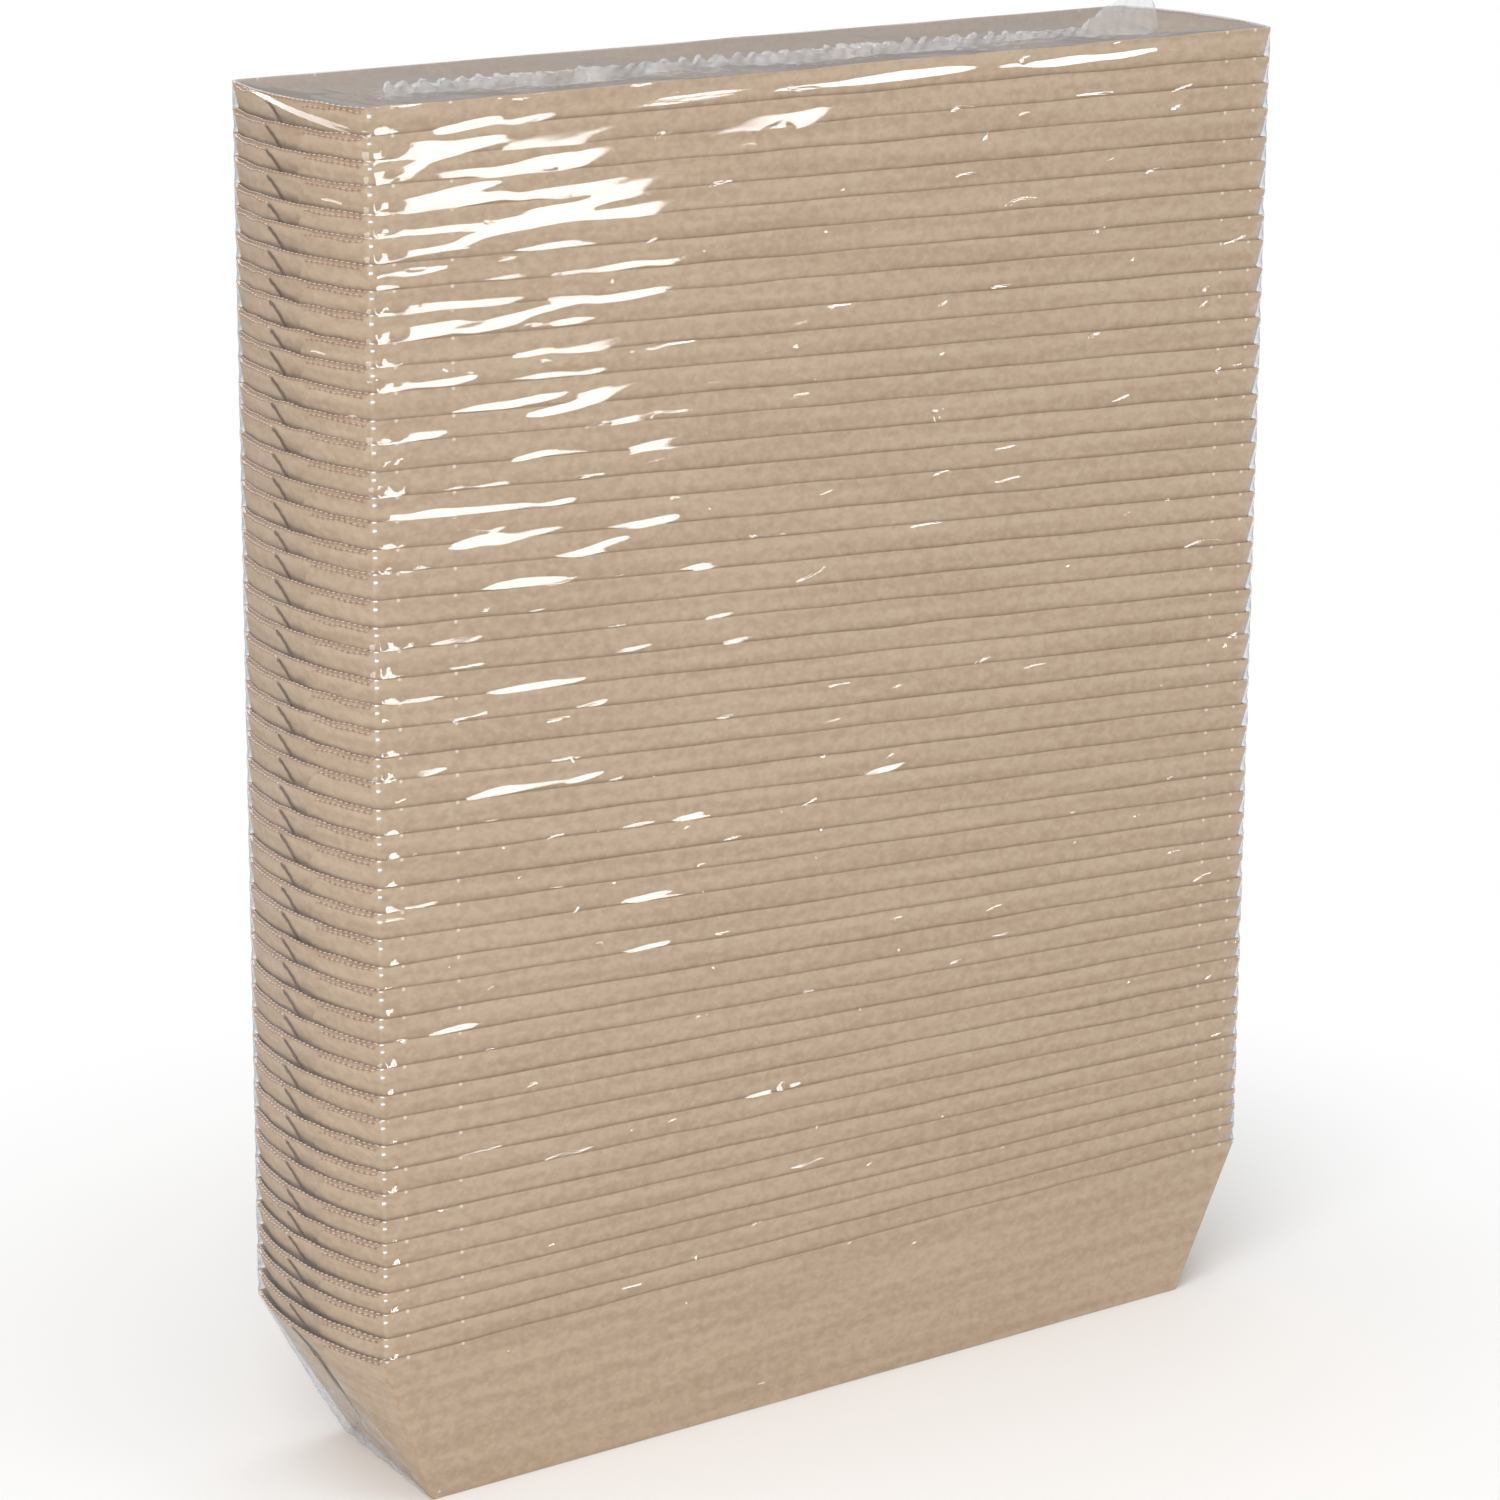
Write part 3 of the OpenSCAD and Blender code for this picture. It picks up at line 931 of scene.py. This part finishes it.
class OBJECT_OT_film_seal(bpy.types.Operator):
    """Stands the crumpled weld and its ear on the middle line of the film's top"""

    bl_idname = "object.film_seal"
    bl_label = "Film Seal"

    def execute(self, context):
        sizes = context.scene.film_sizes
        rim = stack_forms(context.scene.tray_sizes)[-1].rim
        x = spread([WELD_LEFT, 74 * MM, WELD_RIGHT], [300, 60])[:, None]
        ear = np.interp(x, np.array([72, 74, 77, 80, 84, 88, 89.2, 90]) * MM,
                        np.array([0, 1.4, 3.2, 4.5, 5.3, 5.6, 3.6, 0.2]) * MM)
        lump = 0.9 * MM + 0.4 * MM * wander(x, 0.0, 0.006, 1.0, 41)
        lump = lump * np.interp(x, np.array([-83, -82, -79, 40, 60, 90]) * MM,
                                [0.2, 1.6, 1.0, 0.9, 0.5, 0.4])
        high = lump + ear
        # Round the weld at each place: out from its foot, over its top and back.
        turn = np.linspace(0, 2 * math.pi, 13)[:-1][None, :]
        width = 0.55 * MM + 0.35 * MM * wander(x, 0.5, 0.009, 1.0, 43)
        fold = 0.5 * MM * wander(x, np.sin(turn) * 0.004, 0.005, 0.006, 47)
        lean = 0.8 * MM * wander(x, 1.0, 0.02, 1.0, 49)
        up = (1 - np.cos(turn)) / 2
        y = width * np.sin(turn) * (1 - 0.55 * up) + (lean + fold) * up
        floor = rim - sizes.sag * 1.1
        z = floor + (high + sizes.sag * 0.8) * up + 0.3 * fold * up
        points = np.stack([x + 0 * y, y, z], axis=-1)
        quads = grid_quads(points.shape[0], points.shape[1], wrap=True)
        # The weld has the frame's own plain film material, which reads no marks.
        material = bpy.data.materials["clear_film"]
        piece = make_piece("film_seal", points.reshape(-1, 3), quads[:, ::-1], material,
                           {})
        skip_shadows(piece)
        return {"FINISHED"}


def soft_lamp(name, place, aim, size, strength, glints=False):
    """A white rectangular lamp that faces a point; with glints only gloss shows it."""
    data = bpy.data.lights.new(name, "AREA")
    data.shape = "RECTANGLE"
    data.size, data.size_y = size
    data.energy = strength
    lamp = bpy.data.objects.new(name, data)
    lamp.location = place
    lamp.rotation_euler = (Vector(aim) - Vector(place)).to_track_quat("-Z", "Y").to_euler()
    lamp.visible_camera = False
    lamp.visible_diffuse = not glints
    lamp.visible_glossy = glints
    lamp.visible_transmission = False
    bpy.context.scene.collection.objects.link(lamp)


def white_surround(scene, sizes):
    """Even light from all round, at full white where gloss or the view through shows it."""
    world = bpy.data.worlds.new("studio_surround")
    scene.world = world
    world.use_nodes = True
    world.node_tree.nodes.clear()
    w = Wire(world.node_tree)
    seen = w.node("ShaderNodeLightPath")
    shown = seen + seen.other("Is Glossy Ray") + seen.other("Is Transmission Ray")
    level = shown.fade(0.0, 1.0, sizes.soft_light, 1.0)
    light = w.node("ShaderNodeBackground", {"Color": WHITE, "Strength": level})
    output = w.tree.nodes.new("ShaderNodeOutputWorld")
    w.tree.links.new(light.socket, output.inputs["Surface"])


def pale_floor(scene):
    """A pale floor that takes the soft shadow, and glows white in view further out."""
    material, w = new_material("pale_floor")
    away = w.node("ShaderNodeVectorMath", {0: w.place()}, out=1, operation="LENGTH")
    seen = w.node("ShaderNodeLightPath")
    paint = w.node("ShaderNodeBsdfDiffuse", {"Color": (0.93, 0.93, 0.93, 1)})
    white = w.node("ShaderNodeEmission", {"Color": WHITE, "Strength": 1.0})
    far = away.fade(0.10, 0.25) * seen
    close_material(w.node("ShaderNodeMixShader", {0: far, 1: paint, 2: white}))
    mesh = bpy.data.meshes.new("studio_floor")
    corners = [(-4, -4, 0), (4, -4, 0), (4, 4, 0), (-4, 4, 0)]
    mesh.from_pydata(corners, [], [(0, 1, 2, 3)])
    mesh.materials.append(material)
    floor = bpy.data.objects.new("studio_floor", mesh)
    scene.collection.objects.link(floor)


def photo_camera(scene):
    """The camera, fitted to six corners of the stack in the photo: it is turned to the
    right by the yaw, down by the pitch and clockwise by the roll."""
    data = bpy.data.cameras.new("photo_camera")
    data.sensor_width = 36
    data.lens = 118.42
    data.clip_start = 0.05
    data.clip_end = 20
    camera = bpy.data.objects.new("photo_camera", data)
    yaw, pitch, roll = 0.6399, 0.2637, 0.0061
    ahead = Vector((math.sin(yaw) * math.cos(pitch), math.cos(yaw) * math.cos(pitch),
                    -math.sin(pitch)))
    level_right = Vector((math.cos(yaw), -math.sin(yaw), 0))
    level_up = level_right.cross(ahead)
    right = level_right * math.cos(roll) + level_up * math.sin(roll)
    up = level_up * math.cos(roll) - level_right * math.sin(roll)
    turn = Matrix((right, up, -ahead)).transposed()
    camera.matrix_world = Matrix.Translation((-0.5318, -0.7080, 0.3603)) @ turn.to_4x4()
    scene.collection.objects.link(camera)
    scene.camera = camera


class OBJECT_OT_photo_studio(bpy.types.Operator):
    """Sets the pale floor, the white surround, the lamps and the camera"""

    bl_idname = "object.photo_studio"
    bl_label = "Photo Studio"

    def execute(self, context):
        sizes = context.scene.studio_sizes
        scene = context.scene
        scene.view_settings.view_transform = "Standard"
        white_surround(scene, sizes)
        pale_floor(scene)
        k = sizes.lamp_level
        soft_lamp("key_left", (-0.9, -0.7, 0.9), (0, 0, 0.13), (0.8, 0.8), 10.2 * k)
        soft_lamp("fill_right", (0.8, -1.1, 0.7), (0, 0, 0.13), (0.9, 0.9), 2 * k)
        soft_lamp("over_top", (0, 0, 1.3), (0, 0, 0.2), (1.2, 1.2), 5.4 * k)
        # The film's streaks: on the front, under the top edge, and on the left end.
        g = sizes.glint_level
        soft_lamp("front_glint", (1.00, -1.71, 0.34), (-0.08, -0.02, 0.2), (0.20, 0.66),
                  8 * g, glints=True)
        soft_lamp("edge_glint", (1.28, -1.58, 1.10), (0.02, -0.02, 0.25), (0.40, 0.9),
                  22 * g, glints=True)
        soft_lamp("corner_glint", (-0.95, -0.55, 0.62), (-0.1, -0.02, 0.2), (0.8, 0.75),
                  12 * g, glints=True)
        soft_lamp("left_glint", (-0.69, 0.81, 0.65), (-0.1, 0, 0.22), (1.4, 0.5),
                  16 * g, glints=True)
        photo_camera(scene)
        return {"FINISHED"}


class VIEW3D_PT_tray_stack(bpy.types.Panel):
    """Sizes, colours and builders of the tray stack"""

    bl_label = "Tray Stack"
    bl_space_type = "VIEW_3D"
    bl_region_type = "UI"
    bl_category = "Tray Stack"

    def draw(self, context):
        layout = self.layout
        for group in (context.scene.tray_sizes, context.scene.film_sizes,
                      context.scene.studio_sizes):
            box = layout.box()
            for name in group.bl_rna.properties.keys():
                if name not in {"rna_type", "name"}:
                    box.prop(group, name)
        for builder in BUILDERS:
            layout.operator(builder.bl_idname)


BUILDERS = (OBJECT_OT_nested_trays, OBJECT_OT_shrink_film, OBJECT_OT_film_seal,
            OBJECT_OT_photo_studio)
CLASSES = (TraySizes, FilmSizes, StudioSizes) + BUILDERS + (VIEW3D_PT_tray_stack,)


def register():
    """Adds the classes and hangs the three groups of values on the scene."""
    for item in CLASSES:
        bpy.utils.register_class(item)
    bpy.types.Scene.tray_sizes = PointerProperty(type=TraySizes)
    bpy.types.Scene.film_sizes = PointerProperty(type=FilmSizes)
    bpy.types.Scene.studio_sizes = PointerProperty(type=StudioSizes)


def unregister():
    """Takes the groups and classes away again."""
    del bpy.types.Scene.studio_sizes
    del bpy.types.Scene.film_sizes
    del bpy.types.Scene.tray_sizes
    for item in reversed(CLASSES):
        bpy.utils.unregister_class(item)


def main():
    register()
    bpy.ops.object.nested_trays()
    bpy.ops.object.shrink_film()
    bpy.ops.object.film_seal()
    bpy.ops.object.photo_studio()


if __name__ == "__main__":
    main()
